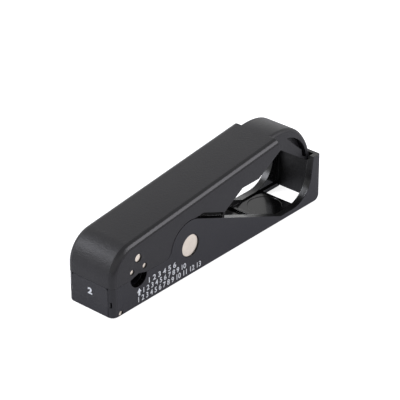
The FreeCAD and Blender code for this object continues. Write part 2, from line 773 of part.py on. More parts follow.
def make_v_block():
    """Reversible block: a round cradle above, a small vee below, blade slots open to the rear, and two tabs."""
    body = new_body("v_block")
    cradle = "JawRadius + CradleGap"
    top = "PartingHeight - PlayGap"
    bottom = "BlockBottom + PlayGap"
    profile = [
        (FRONT, bottom),
        (JAW_X + " - VeeDepth", bottom),
        (JAW_X, bottom + " + VeeDepth"),
        (JAW_X + " + VeeDepth", bottom),
        (from_front("BlockLength"), bottom),
        (from_front("BlockLength"), top),
        (JAW_X + " + " + cradle, top, "right", cradle),
        (JAW_X, "PartingHeight - PlayGap - (%s)" % cradle, "right", cradle),
        (JAW_X + " - (%s)" % cradle, top),
        (FRONT, top),
    ]
    pad(body, outline(new_sketch(body, "block_profile"), profile), BLOCK_HALF + " * 2")
    half = value(BLOCK_HALF)
    top_level = value(top)

    def upper_corner(edge):
        point = middle_of(edge)
        level = abs(point.z - top_level) < TOUCH and edge.Curve.TypeId == "Part::GeomLine"
        return level and abs(abs(point.y) - half) < TOUCH

    fillet(body, "block_corners", "BlockCorner", upper_corner)

    tabs = new_sketch(body, "block_tabs", "XY_Plane", lift=bottom)
    inner_y = "(%s - PlayGap)" % BLOCK_HALF
    outer_y = "(%s + TabWidth)" % BLOCK_HALF
    inner_x = corner_face(inner_y)
    outer_x = corner_face(outer_y)
    tab_rear = from_front("TabDepth")
    outline(tabs, [(inner_x, inner_y), (tab_rear, inner_y), (tab_rear, outer_y), (outer_x, outer_y)])
    outline(tabs, [(inner_x, "-" + inner_y), (outer_x, "-" + outer_y), (tab_rear, "-" + outer_y),
                   (tab_rear, "-" + inner_y)])
    pad(body, tabs, "TabHeight - PlayGap", "One side")

    slots = new_sketch(body, "blade_slots", "XY_Plane", lift="PartingHeight")
    slot_half = "(BladeWidth / 2 + BladeSlotWidth / 2)"
    for place in (-1, 0, 1):
        low_y = "BladePitch * %d - BladeSlotWidth / 2" % place
        high_y = "BladePitch * %d + BladeSlotWidth / 2" % place
        rectangle(slots, JAW_X + " - " + slot_half, from_front("BlockLength"), low_y, high_y)
    pocket(body, slots, "BladeSlotDepth", "One side")
    return body


def make_click_spring():
    """Bent strip that hooks over its pin and rises into the vee under the block."""
    body = new_body("click_spring")
    pin_x = from_front("ClickPinFromFront")
    tail_x = pin_x + " - ClickPinDiameter / 2"
    bend_x = JAW_X + " - ClickPinDiameter * 1.5"
    foot_x = from_front("(ClickPinFromFront - ClickPinDiameter + ClickWellLength - ClickStrip * 2)")
    seat = "(ClickPinHeight + ClickPinDiameter / 2 + PlayGap * 2)"
    crest_z = "(BlockBottom + ClickCrest)"
    rest_z = "(ClickWellFloor + PlayGap * 2)"
    profile = [
        (tail_x, seat),
        (bend_x, seat),
        (JAW_X + " - ClickStrip", crest_z),
        (JAW_X + " + ClickStrip", crest_z),
        (foot_x, rest_z),
        (foot_x, rest_z + " + ClickStrip"),
        (JAW_X + " + ClickStrip * 1.4", crest_z + " + ClickStrip"),
        (JAW_X + " - ClickStrip * 1.4", crest_z + " + ClickStrip"),
        (bend_x + " - ClickStrip / 4", seat + " + ClickStrip"),
        (tail_x, seat + " + ClickStrip"),
    ]
    pad(body, outline(new_sketch(body, "click_profile"), profile), "ClickStripWidth")
    return body


# The pivot

def make_pivot():
    cross_pin("pivot_pin", PIVOT_X, "PivotHeight", "PivotPinDiameter")
    bore = "PivotPinDiameter + PlayGap * 2"
    ring("pivot_bush", PIVOT_X, "PivotHeight", "BushDiameter", bore,
         "SpringChannel / 2 - PlayGap", "SpringChannel - PlayGap * 2")
    near_high = "-(%s - WasherThickness - PlayGap)" % INNER_HALF
    far_high = "%s - PlayGap" % INNER_HALF
    ring("pivot_washer_near", PIVOT_X, "PivotHeight", "WasherDiameter", bore, near_high, "WasherThickness")
    ring("pivot_washer_far", PIVOT_X, "PivotHeight", "WasherDiameter", bore, far_high, "WasherThickness")


def wire_end(radius, flats, point, way):
    """The end face of the wire, a round drawn with a few flats, square to the way it runs."""
    across = way.cross(FreeCAD.Vector(0, 0, 1)).normalize()
    upward = across.cross(way)
    corners = []
    for index in range(flats + 1):
        angle = 2 * math.pi * (index % flats) / flats
        corners.append(point + across * (radius * math.cos(angle)) + upward * (radius * math.sin(angle)))
    return Part.Face(Part.makePolygon(corners))


def run_straight(face, step):
    """A straight length of wire from its end face, and the face at its other end."""
    length = face.extrude(step)
    end_face = face.copy()
    end_face.translate(step)
    return length, end_face


def run_bent(face, start, control, end):
    """A bend of the wire from start towards control to end: its end face turned about the middle of the bend."""
    weight = (end - start).Length / 2 / (control - start).Length
    middle = (start + end + control * 2 * weight) * (1 / (2 + 2 * weight))
    bend = Part.Arc(start, middle, end).toShape()
    turn = math.degrees(bend.LastParameter - bend.FirstParameter)
    length = face.revolve(bend.Curve.Center, bend.Curve.Axis, turn)
    end_face = face.copy()
    end_face.rotate(bend.Curve.Center, bend.Curve.Axis, turn)
    return length, end_face


def two_bends(face, start, start_way, end, end_way):
    """Two bends that meet smoothly and carry the wire from one point and direction to another."""
    across = end - start
    ways = start_way + end_way
    square = ways.dot(ways) - 4
    slope = across.dot(ways)
    step = (slope - math.sqrt(slope * slope - square * across.dot(across))) / square
    first_control = start + start_way * step
    last_control = end - end_way * step
    joint = (first_control + last_control) * 0.5
    first, face = run_bent(face, start, first_control, joint)
    last, face = run_bent(face, joint, last_control, end)
    return [first, last], face


def make_torsion_spring():
    """Coil round the bush, one leg down on the base's floor and the other up against the lever."""
    wire = value("SpringWire / 2")
    coil = value("BushDiameter / 2 + PlayGap * 3") + wire
    pivot = FreeCAD.Vector(value(PIVOT_X), 0, value("PivotHeight"))
    reach = value("SpringLegReach")
    tilt = math.radians(value("LeverTilt"))
    along = FreeCAD.Vector(math.cos(tilt), 0, math.sin(tilt))
    outward = FreeCAD.Vector(-math.sin(tilt), 0, math.cos(tilt))
    floor_drop = value("PivotHeight - FloorThickness - PlayGap * 2") - wire
    roof_rise = value("LeverRise - LeverTopThickness - PlayGap * 4") - wire
    low_end = FreeCAD.Vector(reach, 0, -floor_drop)
    high_end = along * reach + outward * roof_rise
    low_angle = math.atan2(low_end.z, low_end.x) - math.acos(coil / low_end.Length)
    high_angle = math.atan2(high_end.z, high_end.x) + math.acos(coil / high_end.Length)
    turned = low_angle - high_angle + 2 * math.pi * (value("SpringTurns") + 1)
    height = value("SpringChannel - PlayGap * 4") - 4 * wire
    climb = height / (turned * coil)

    def on_coil(angle):
        return FreeCAD.Vector(coil * math.cos(angle), coil * math.sin(angle), climb * coil * angle)

    def way_on_coil(angle):
        return FreeCAD.Vector(-math.sin(angle), math.cos(angle), climb).normalize()

    low_leg = math.sqrt(low_end.Length ** 2 - coil ** 2)
    high_leg = math.sqrt(high_end.Length ** 2 - coil ** 2)
    low_foot = on_coil(0) - way_on_coil(0) * low_leg
    face = wire_end(wire, round(value("SpringFlats")), low_foot, way_on_coil(0))
    leg, face = run_straight(face, way_on_coil(0) * low_leg)
    lengths = [leg]
    spans = math.ceil(turned / math.radians(90))
    angles = [turned * index / spans for index in range(spans + 1)]
    for here, there in zip(angles, angles[1:]):
        bends, face = two_bends(face, on_coil(here), way_on_coil(here), on_coil(there), way_on_coil(there))
        lengths += bends
    leg, face = run_straight(face, way_on_coil(turned) * high_leg)
    lengths.append(leg)
    solid = lengths[0].fuse(lengths[1:]).Solids[0]
    lay_down = FreeCAD.Rotation(FreeCAD.Vector(1, 0, 0), -90)
    spin = FreeCAD.Rotation(FreeCAD.Vector(0, 1, 0), -math.degrees(low_angle))
    spring = DOC.addObject("Part::Feature", "torsion_spring")
    spring.Label = "torsion_spring"
    spring.Shape = solid
    spring.Placement = FreeCAD.Placement(pivot - FreeCAD.Vector(0, height / 2, 0), spin.multiply(lay_down))
    return spring


make_base_body()
make_lever_body()
make_pivot()
make_torsion_spring()
make_v_block()
make_click_spring()
cross_pin("click_pin", from_front("ClickPinFromFront"), "ClickPinHeight", "ClickPinDiameter")
make_blade_pack()
DOC.recompute()

for item in DOC.Objects:
    if "Invalid" in item.State or "Error" in item.State:
        raise ValueError("%s failed: %s" % (item.Name, item.State))

os.makedirs("parts", exist_ok=True)
SUB_PARTS = [item for item in DOC.Objects if item.TypeId in ("PartDesign::Body", "Part::Feature")]
for item in SUB_PARTS:
    shape = item.Shape
    if shape.isNull() or not shape.isValid():
        raise ValueError("%s has no valid shape" % item.Label)
    shape.exportStep("parts/%s.step" % item.Label)
    box = shape.BoundBox
    print("%-20s %d solid  %9.2f mm3  X %7.2f %7.2f  Y %6.2f %6.2f  Z %6.2f %6.2f" % (
        item.Label, len(shape.Solids), shape.Volume,
        box.XMin, box.XMax, box.YMin, box.YMax, box.ZMin, box.ZMax))
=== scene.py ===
import math

import bpy
import numpy as np
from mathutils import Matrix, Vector


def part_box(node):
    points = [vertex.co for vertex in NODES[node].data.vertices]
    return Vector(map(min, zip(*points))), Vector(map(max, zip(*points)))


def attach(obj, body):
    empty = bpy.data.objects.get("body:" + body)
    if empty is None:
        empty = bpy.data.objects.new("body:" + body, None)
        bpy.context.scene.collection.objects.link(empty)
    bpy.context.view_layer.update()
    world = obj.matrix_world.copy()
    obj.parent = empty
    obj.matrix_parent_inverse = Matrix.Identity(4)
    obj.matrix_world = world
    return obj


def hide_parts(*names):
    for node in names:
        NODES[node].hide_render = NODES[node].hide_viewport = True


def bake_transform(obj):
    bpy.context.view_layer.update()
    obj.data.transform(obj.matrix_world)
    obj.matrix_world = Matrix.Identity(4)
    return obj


# Coaxial cable stripper lying on a pale table: black mouldings, nickel pins, ground blades and white print.
# +X runs from the jaw to the finger ring, +Y across the tool, +Z up. Lengths are in metres.

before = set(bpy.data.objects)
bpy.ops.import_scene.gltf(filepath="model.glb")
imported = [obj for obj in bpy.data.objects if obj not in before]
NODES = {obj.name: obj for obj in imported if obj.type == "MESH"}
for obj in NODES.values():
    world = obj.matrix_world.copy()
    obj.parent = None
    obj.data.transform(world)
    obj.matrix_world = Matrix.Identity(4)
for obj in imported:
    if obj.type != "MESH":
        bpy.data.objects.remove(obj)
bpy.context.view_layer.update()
MM = 0.001

# Where the mouldings lie
BASE_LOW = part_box("base_body")[0]
FRONT_X = BASE_LOW.x
NEAR_Y = BASE_LOW.y
BLOCK_FRONT_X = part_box("v_block")[0].x
PIN_LOW, PIN_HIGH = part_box("pivot_pin")
PIVOT = np.array((PIN_LOW + PIN_HIGH) / 2)
HALF_WIDTH = 10.0 * MM
EDGE_RADIUS = 2.1 * MM

# Spans over which a finish of the mouldings fades in or out. These run along the tool, from front to back.
BEHIND_FRONT_FACE = (-52.0 * MM, -50.5 * MM)
BEHIND_NOSE = (-46.0 * MM, -40.0 * MM)
IN_RING = (12.5 * MM, 14.5 * MM)
IN_SCOOP = (31.0 * MM, 34.0 * MM)
IN_REAR_WALL = (50.6 * MM, 50.8 * MM)
AT_REAR_FACE = (51.8 * MM, 52.3 * MM)

# This one runs up from the sole.
ABOVE_SOLE = (0.3 * MM, 0.8 * MM)

# These run in from the side planes.
UNDER_SIDE_PLANE = (0.15 * MM, 0.4 * MM)
PAST_WALL_EDGE = (2.3 * MM, 2.6 * MM)
BETWEEN_WALLS = (2.5 * MM, 2.7 * MM)

# These are shares of the long edge's radius, in from the side planes.
EDGE_BEGINS = (0.002, 0.012)
EDGE_ENDS = (0.80, 0.95)


# Shader helpers

def link(tree, source, target):
    tree.links.new(source, target)


def set_input(node, name, value):
    node.inputs[name].default_value = value


def feed(tree, value, socket):
    """Gives a socket a plain value, or joins another node's output to it."""
    if isinstance(value, bpy.types.NodeSocket):
        link(tree, value, socket)
    else:
        socket.default_value = value


def math_node(tree, operation, *arguments):
    """A Math node; each argument is a number or another node's output."""
    node = tree.nodes.new("ShaderNodeMath")
    node.operation = operation
    for argument, socket in zip(arguments, node.inputs):
        feed(tree, argument, socket)
    return node.outputs[0]


def product(tree, first, *others):
    """The product of an output and the others, which are outputs or numbers."""
    for other in others:
        first = math_node(tree, "MULTIPLY", first, other)
    return first


def remainder(tree, share):
    """What is left of one: one less the share."""
    return math_node(tree, "SUBTRACT", 1.0, share)


def blend_numbers(tree, share, none, full):
    """A number that goes from none to full as the share goes from 0 to 1."""
    return math_node(tree, "MULTIPLY_ADD", share, full - none, none)


def mix_colours(tree, share, none, full):
    """A colour that goes from none to full as the share goes from 0 to 1; each is a colour or an output."""
    node = tree.nodes.new("ShaderNodeMix")
    node.data_type = "RGBA"
    link(tree, share, node.inputs["Factor"])
    for name, colour in (("A", none), ("B", full)):
        socket = [item for item in node.inputs if item.name == name and item.type == "RGBA"][0]
        feed(tree, colour, socket)
    return [item for item in node.outputs if item.type == "RGBA"][0]


def step_over(tree, value, span):
    """Smooth step of a value from 0 at the span's low end to 1 at its high end."""
    node = tree.nodes.new("ShaderNodeMapRange")
    node.interpolation_type = "SMOOTHSTEP"
    link(tree, value, node.inputs["Value"])
    set_input(node, "From Min", span[0])
    set_input(node, "From Max", span[1])
    return node.outputs["Result"]


def noise(tree, place, scale, detail):
    node = tree.nodes.new("ShaderNodeTexNoise")
    link(tree, place, node.inputs["Vector"])
    feed(tree, scale, node.inputs["Scale"])
    set_input(node, "Detail", detail)
    return node.outputs["Fac"]


def split_place(tree, place):
    """The X, Y and Z of a place."""
    node = tree.nodes.new("ShaderNodeSeparateXYZ")
    link(tree, place, node.inputs["Vector"])
    return node.outputs


def depth_from_side(tree, given, across):
    """How far a point lies in from the nearer side plane: the half width less the size of its Y."""
    return math_node(tree, "SUBTRACT", given.outputs["Half width"], math_node(tree, "ABSOLUTE", across))


def new_group(name, inputs, outputs):
    """A shader node group with named sockets; returns the tree and its input and output nodes."""
    tree = bpy.data.node_groups.new(name, "ShaderNodeTree")
    for kind, pairs in (("INPUT", inputs), ("OUTPUT", outputs)):
        for socket_name, socket_type in pairs:
            tree.interface.new_socket(socket_name, in_out=kind, socket_type="NodeSocket" + socket_type)
    return tree, tree.nodes.new("NodeGroupInput"), tree.nodes.new("NodeGroupOutput")


# Groups that the mouldings share

COARSE_PER_FINE = 0.5
SLOW_CHANGES = 90.0
COARSE_ON_NOSE = 1.1
COARSE_BEHIND = 0.6
FINE_ON_NOSE = 1.25
FINE_BEHIND = 0.4
SCOOP_RIM_SHARE = 0.6


def make_spark_grain():
    """Fine spark-eroded grain of a mould: its height, which is greater on the nose, and its tone.
    The height is a fine and a coarse noise added up, and the tone the mean of the fine one and a slow one."""
    tree, given, result = new_group(
        "Spark grain",
        [("Place", "Vector"), ("Grains per metre", "Float")],
        [("Height", "Float"), ("Tone", "Float")],
    )
    place = given.outputs["Place"]
    grains = given.outputs["Grains per metre"]
    fine = noise(tree, place, grains, 2.0)
    coarse = noise(tree, place, product(tree, grains, COARSE_PER_FINE), 1.0)
    slow = noise(tree, place, SLOW_CHANGES, 3.0)
    tone = math_node(tree, "ADD", product(tree, fine, 0.5), product(tree, slow, 0.5))
    behind_nose = step_over(tree, split_place(tree, place)["X"], BEHIND_NOSE)
    coarse_share = blend_numbers(tree, behind_nose, COARSE_ON_NOSE, COARSE_BEHIND)
    fine_share = blend_numbers(tree, behind_nose, FINE_ON_NOSE, FINE_BEHIND)
    height = math_node(tree, "MULTIPLY_ADD", fine, fine_share, product(tree, coarse, coarse_share))
    link(tree, height, result.inputs["Height"])
    link(tree, tone, result.inputs["Tone"])
    return tree


def make_polished_inside():
    """Masks of the base's inside, by place.
    Interior: what lies in from the side planes and both end faces, and above the sole; the base's colour is
    darkened there as painted shade.
    Mask: the polished part of that, which leaves out the rear wall between the side walls.
    Rim: the walls' cut edges along the ring, where the polish is duller, and less so at the scoop."""
    tree, given, result = new_group(
        "Polished inside",
        [("Place", "Vector"), ("Half width", "Float")],
        [("Mask", "Float"), ("Rim", "Float"), ("Interior", "Float")],
    )
    place = split_place(tree, given.outputs["Place"])
    inset = depth_from_side(tree, given, place["Y"])
    beside = step_over(tree, inset, UNDER_SIDE_PLANE)
    above = step_over(tree, place["Z"], ABOVE_SOLE)
    behind = step_over(tree, place["X"], BEHIND_FRONT_FACE)
    ahead = remainder(tree, step_over(tree, place["X"], AT_REAR_FACE))
    interior = product(tree, beside, above, behind, ahead)
    in_rear_wall = step_over(tree, place["X"], IN_REAR_WALL)
    between_walls = step_over(tree, inset, BETWEEN_WALLS)
    mask = product(tree, interior, remainder(tree, product(tree, in_rear_wall, between_walls)))
    on_edge = remainder(tree, step_over(tree, inset, PAST_WALL_EDGE))
    in_ring = step_over(tree, place["X"], IN_RING)
    in_scoop = step_over(tree, place["X"], IN_SCOOP)
    rim = product(tree, mask, on_edge, in_ring, blend_numbers(tree, in_scoop, 1.0, SCOOP_RIM_SHARE))
    link(tree, mask, result.inputs["Mask"])
    link(tree, rim, result.inputs["Rim"])
    link(tree, interior, result.inputs["Interior"])
    return tree


def make_rounded_edge():
    """Mask of the rounded long edges: the points less than the edge's radius in from a side plane."""
    tree, given, result = new_group(
        "Rounded edge",
        [("Place", "Vector"), ("Half width", "Float"), ("Radius", "Float")],
        [("Mask", "Float")],
    )
    inset = depth_from_side(tree, given, split_place(tree, given.outputs["Place"])["Y"])
    share = math_node(tree, "DIVIDE", inset, given.outputs["Radius"])
    begun = step_over(tree, share, EDGE_BEGINS)
    ended = step_over(tree, share, EDGE_ENDS)
    link(tree, math_node(tree, "SUBTRACT", begun, ended), result.inputs["Mask"])
    return tree


SPARK_GRAIN = make_spark_grain()
POLISHED_INSIDE = make_polished_inside()
ROUNDED_EDGE = make_rounded_edge()


# Materials

def place_group(tree, group, place, values):
    """A shader node group at a place, with its own values."""
    node = tree.nodes.new("ShaderNodeGroup")
    node.node_tree = group
    link(tree, place, node.inputs["Place"])
    for name, value in values.items():
        set_input(node, name, value)
    return node.outputs


def new_material(name):
    """A material with its node tree, its Principled shader and its Object coordinates."""
    material = bpy.data.materials.new(name)
    material.use_nodes = True
    tree = material.node_tree
    shader = tree.nodes["Principled BSDF"]
    place = tree.nodes.new("ShaderNodeTexCoord").outputs["Object"]
    return material, tree, shader, place


def add_bump(tree, shader, height, strength, distance):
    bump = tree.nodes.new("ShaderNodeBump")
    set_input(bump, "Strength", strength)
    set_input(bump, "Distance", distance)
    link(tree, height, bump.inputs["Height"])
    link(tree, bump.outputs["Normal"], shader.inputs["Normal"])
    return bump


PLASTIC_SPECULAR = 0.42
ROUGHNESS_SWING = 0.1
EDGE_POLISH = 0.27
EDGE_GRAIN_SHARE = 0.4
RIM_DULLNESS = 0.24
GRAIN_HEIGHT = 0.06 * MM
SOFT_EDGE_RADIUS = 0.25 * MM
SOFT_EDGE_SAMPLES = 6
# Painted shade: a darker colour than the plastic's own, laid on the base's inside faces.
INSIDE_PAINTED_SHADE = (0.0035, 0.0034, 0.0036, 1)


def moulded_black(name, dark, light, matte, grains, polished=None):
    """Black moulded plastic: grained outside, smoother on the rounded long edges and, where a polish is
    given, glossy on the faces that lie inside, whose colour is darkened there as painted shade. Its sharp
    edges are shaded as if slightly rounded."""
    material, tree, shader, place = new_material(name)
    grain = place_group(tree, SPARK_GRAIN, place, {"Grains per metre": grains})
    edge = place_group(tree, ROUNDED_EDGE, place, {"Half width": HALF_WIDTH, "Radius": EDGE_RADIUS})["Mask"]
    colour = mix_colours(tree, grain["Tone"], dark, light)
    rough = blend_numbers(tree, grain["Tone"], matte - ROUGHNESS_SWING, matte + ROUGHNESS_SWING)
    rough = math_node(tree, "MULTIPLY_ADD", edge, -EDGE_POLISH, rough)
    height = product(tree, grain["Height"], blend_numbers(tree, edge, 1.0, EDGE_GRAIN_SHARE))
    if polished is not None:
        inside = place_group(tree, POLISHED_INSIDE, place, {"Half width": HALF_WIDTH})
        outside = remainder(tree, inside["Mask"])
        rough = math_node(tree, "ADD", product(tree, rough, outside), product(tree, inside["Mask"], polished))
        rough = math_node(tree, "MULTIPLY_ADD", inside["Rim"], RIM_DULLNESS, rough)
        height = product(tree, height, outside)
        # Painted shade: the base's inside faces take the darker inside colour.
        colour = mix_colours(tree, inside["Interior"], colour, INSIDE_PAINTED_SHADE)
    link(tree, colour, shader.inputs["Base Color"])
    link(tree, rough, shader.inputs["Roughness"])
    set_input(shader, "Specular IOR Level", PLASTIC_SPECULAR)
    soft_edge = tree.nodes.new("ShaderNodeBevel")
    soft_edge.samples = SOFT_EDGE_SAMPLES
    set_input(soft_edge, "Radius", SOFT_EDGE_RADIUS)
    bump = add_bump(tree, shader, height, 1.0, GRAIN_HEIGHT)
    link(tree, soft_edge.outputs["Normal"], bump.inputs["Normal"])
    return material


LENGTHWISE = 0
CROSSWISE = 1
STREAK_SQUEEZE = 0.04
BLOTCHES = 500.0
BLOTCH_SHADE = 0.86
STREAK_STRENGTH = 0.15
STREAK_HEIGHT = 0.02 * MM


def metal(name, colour, rough, streaks, axis):
    """Metal with fine streaks along one axis in its roughness and height, and blotches in its colour."""
    material, tree, shader, place = new_material(name)
    mapping = tree.nodes.new("ShaderNodeMapping")
    link(tree, place, mapping.inputs["Vector"])
    squeeze = [1.0, 1.0, 1.0]
    squeeze[axis] = STREAK_SQUEEZE
    set_input(mapping, "Scale", squeeze)
    streak = noise(tree, mapping.outputs["Vector"], streaks, 3.0)
    blotch = noise(tree, place, BLOTCHES, 2.0)
    darker = tuple(BLOTCH_SHADE * part for part in colour[:3]) + (1.0,)
    rough = blend_numbers(tree, streak, rough - ROUGHNESS_SWING, rough + ROUGHNESS_SWING)
    link(tree, mix_colours(tree, blotch, darker, colour), shader.inputs["Base Color"])
    link(tree, rough, shader.inputs["Roughness"])
    set_input(shader, "Metallic", 1.0)
    add_bump(tree, shader, streak, STREAK_STRENGTH, STREAK_HEIGHT)
    return material


INK_PATCHES = 2200.0
INK_COVERS = (0.28, 0.52)
THIN_INK = (0.64, 0.67, 0.71, 1)
FULL_INK = (0.88, 0.91, 0.95, 1)
THIN_INK_ROUGHNESS = 0.6
FULL_INK_ROUGHNESS = 0.5
INK_RELIEF = 0.2
INK_HEIGHT = 0.01 * MM


def printing_ink():
    """White ink laid on by a pad: slightly thin and uneven in places."""
    material, tree, shader, place = new_material("White ink")
    cover = step_over(tree, noise(tree, place, INK_PATCHES, 2.0), INK_COVERS)
    link(tree, mix_colours(tree, cover, THIN_INK, FULL_INK), shader.inputs["Base Color"])
    rough = blend_numbers(tree, cover, THIN_INK_ROUGHNESS, FULL_INK_ROUGHNESS)
    link(tree, rough, shader.inputs["Roughness"])
    add_bump(tree, shader, cover, INK_RELIEF, INK_HEIGHT)
    return material


BASE_PLASTIC = moulded_black(
    "Base moulding",
    dark=(0.005, 0.0049, 0.0088, 1),
    light=(0.009, 0.0088, 0.0135, 1),
    matte=0.44,
    grains=2600.0,
    polished=0.15,
)
LEVER_PLASTIC = moulded_black(
    "Lever moulding",
    dark=(0.006, 0.0057, 0.0078, 1),
    light=(0.010, 0.0095, 0.0122, 1),
    matte=0.46,
    grains=2600.0,
)
BLOCK_PLASTIC = moulded_black(
    "Block moulding",
    dark=(0.006, 0.0058, 0.0092, 1),
    light=(0.010, 0.0097, 0.0142, 1),
    matte=0.42,
    grains=3200.0,
)
SPACER_PLASTIC = moulded_black(
    "Spacer moulding",
    dark=(0.02, 0.02, 0.02, 1),
    light=(0.03, 0.03, 0.03, 1),
    matte=0.5,
    grains=3000.0,
)
NICKEL = metal("Nickel pin", (0.96, 0.865, 0.735, 1), rough=0.30, streaks=9000.0, axis=CROSSWISE)
GROUND_STEEL = metal("Ground blade steel", (0.62, 0.63, 0.65, 1), rough=0.28, streaks=6000.0, axis=LENGTHWISE)
SATIN_STEEL = metal("Satin steel", (0.5, 0.5, 0.5, 1), rough=0.38, streaks=5000.0, axis=CROSSWISE)
SPRING_STEEL = metal("Spring wire", (0.42, 0.42, 0.43, 1), rough=0.3, streaks=7000.0, axis=LENGTHWISE)
WHITE_INK = printing_ink()

FINISHES = {
    "base_body": BASE_PLASTIC,
    "lever_body": LEVER_PLASTIC,
    "v_block": BLOCK_PLASTIC,
    "pivot_pin": NICKEL,
    "clamp_pin": NICKEL,
    "guide_pin_front": NICKEL,
    "guide_pin_rear": NICKEL,
    "click_pin": NICKEL,
    "pivot_bush": SATIN_STEEL,
    "pivot_washer_near": SATIN_STEEL,
    "pivot_washer_far": SATIN_STEEL,
    "torsion_spring": SPRING_STEEL,
    "click_spring": SPRING_STEEL,
    "blade_jacket": GROUND_STEEL,
    "blade_braid": GROUND_STEEL,
    "blade_core": GROUND_STEEL,
}
SPACER_COUNT = 4
for number in range(1, SPACER_COUNT + 1):
    FINISHES["blade_spacer_%d" % number] = SPACER_PLASTIC

JOIN_DISTANCE = 0.002 * MM
SHARP_FROM = math.radians(28)


def dress_node(node, material):
    """Gives a CAD node its finish, joins its loose triangles and shades its rounded faces smoothly."""
    piece = NODES[node]
    piece.data.materials.clear()
    piece.data.materials.append(material)
    piece.data.polygons.foreach_set("use_smooth", np.ones(len(piece.data.polygons), bool))
    joined = piece.modifiers.new("Join triangles", "WELD")
    joined.merge_threshold = JOIN_DISTANCE
    split = piece.modifiers.new("Keep edges", "EDGE_SPLIT")
    split.split_angle = SHARP_FROM


for node, material in FINISHES.items():
    dress_node(node, material)


# Print

INK_BACK = 0.01 * MM
INK_FRONT = 0.02 * MM
UPWARD = np.array([0.0, 0.0, 1.0])
ALONG_SIDE = np.array([1.0, 0.0, 0.0])
ALONG_FRONT = np.array([0.0, -1.0, 0.0])
LETTER_STEPS = 4
DRAFT_DEPTH = 0.5
ROW_BOLD = 0.014
NUMBER_BOLD = 0.045

# The arrow's corners as shares of its width and height, in turn round its outline from the stem's foot
ARROW_CORNERS = np.array([
    (0.30, 0.0),
    (0.70, 0.0),
    (0.70, 0.46),
    (1.0, 0.46),
    (0.5, 1.0),
    (0.0, 0.46),
    (0.30, 0.46),
])


def new_piece(name, mesh, material, body):
    """An object at the origin with its place in its mesh, riding on a body of the tool."""
    piece = bpy.data.objects.new(name, mesh)
    bpy.context.scene.collection.objects.link(piece)
    mesh.materials.append(material)
    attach(piece, body)


def lay_flat(flat, corner, along):
    """Places points (run, height, depth from 0 to 1) on an upright face, from a corner: the run goes along
    the row, the height up, and the depth outwards from just under the plastic's skin to the ink's front."""
    outward = np.cross(along, UPWARD)
    depth = -INK_BACK + flat[:, 2:3] * (INK_BACK + INK_FRONT)
    return corner + flat[:, 0:1] * along + flat[:, 1:2] * UPWARD + depth * outward


def print_row(name, words, body, corner, along, size, bold):
    """A printed row of plain numbers, stretched to its size: its run and its height."""
    curve = bpy.data.curves.new(name + " outline", "FONT")
    curve.body = words
    curve.resolution_u = LETTER_STEPS
    curve.offset = bold
    curve.extrude = DRAFT_DEPTH
    draft = bpy.data.objects.new(name + " draft", curve)
    bpy.context.scene.collection.objects.link(draft)
    bpy.context.view_layer.update()
    mesh = bpy.data.meshes.new_from_object(draft)
    bpy.data.objects.remove(draft)
    bpy.data.curves.remove(curve)
    points = np.empty(len(mesh.vertices) * 3)
    mesh.vertices.foreach_get("co", points)
    points = points.reshape(-1, 3)
    low, high = points.min(axis=0), points.max(axis=0)
    flat = (points - low) / (high - low) * np.array([size[0], size[1], 1.0])
    mesh.vertices.foreach_set("co", lay_flat(flat, corner, along).ravel())
    mesh.update()
    new_piece(name, mesh, WHITE_INK, body)


def print_arrow(name, body, corner, along, size):
    """An upright arrow: a triangular head over a stem, as a flat outline with the ink's thickness."""
    count = len(ARROW_CORNERS)
    outline = ARROW_CORNERS * np.array(size)
    back = np.column_stack([outline, np.zeros(count)])
    front = np.column_stack([outline, np.ones(count)])
    ring = np.arange(count)
    after = (ring + 1) % count
    sides = np.column_stack([ring, after, after + count, ring + count]).tolist()
    front_face = list(range(count, 2 * count))
    back_face = list(range(count - 1, -1, -1))
    mesh = bpy.data.meshes.new(name)
    places = lay_flat(np.vstack([back, front]), corner, along)
    mesh.from_pydata(places.tolist(), [], sides + [front_face, back_face])
    mesh.update()
    new_piece(name, mesh, WHITE_INK, body)


def on_near_side(from_front, height):
    """A corner on the near side, by its distance from the front end and its height, both in millimetres."""
    return np.array([FRONT_X + from_front * MM, NEAR_Y, height * MM])


SIZE_ROWS = [
    ("size_row_upper", "1 2 3 4 5 6", on_near_side(16.95, 6.4), (13.1 * MM, 2.0 * MM)),
    ("size_row_middle", "1 2 3 4 5 6 7 8 9 10", on_near_side(14.3, 3.95), (20.6 * MM, 1.95 * MM)),
    ("size_row_lower", "1 2 3 4 5 6 7 8 9 10 11 12 13", on_near_side(11.8, 1.35), (30.5 * MM, 2.05 * MM)),
]
for name, words, corner, size in SIZE_ROWS:
    print_row(name, words, "base", corner, ALONG_SIDE, size, ROW_BOLD)
print_arrow("size_arrow", "base", on_near_side(11.3, 3.75), ALONG_SIDE, (2.1 * MM, 2.75 * MM))
NUMBER_CORNER = np.array([BLOCK_FRONT_X, 0.95 * MM, 6.05 * MM])
print_row("block_number", "2", "block", NUMBER_CORNER, ALONG_FRONT, (1.9 * MM, 2.35 * MM), NUMBER_BOLD)


# The torsion spring

WIRE = 0.6 * MM
COIL_RADIUS = 5.55 * MM
COIL_HALF_HEIGHT = 2.3 * MM
LEG_REACH = 19.0 * MM
FLOOR_DROP = 9.0 * MM
ROOF_RISE = 12.9 * MM
LEVER_TILT = math.radians(6.75)
SPRING_TURNS = 2
COIL_POINTS = 160
LEG_POINTS = 12
WIRE_SIDES = 16
ROUND_WIRE = np.linspace(0, 2 * np.pi, WIRE_SIDES, endpoint=False)
PIVOT_AXIS = np.array([0.0, 1.0, 0.0])

# How far the circles at a wire's end stand out past it, and how wide they are, as shares of the wire's radius
END_LEADS = np.array([0.5, 0.3, 0.0])
END_WIDTHS = np.array([0.05, 0.75])


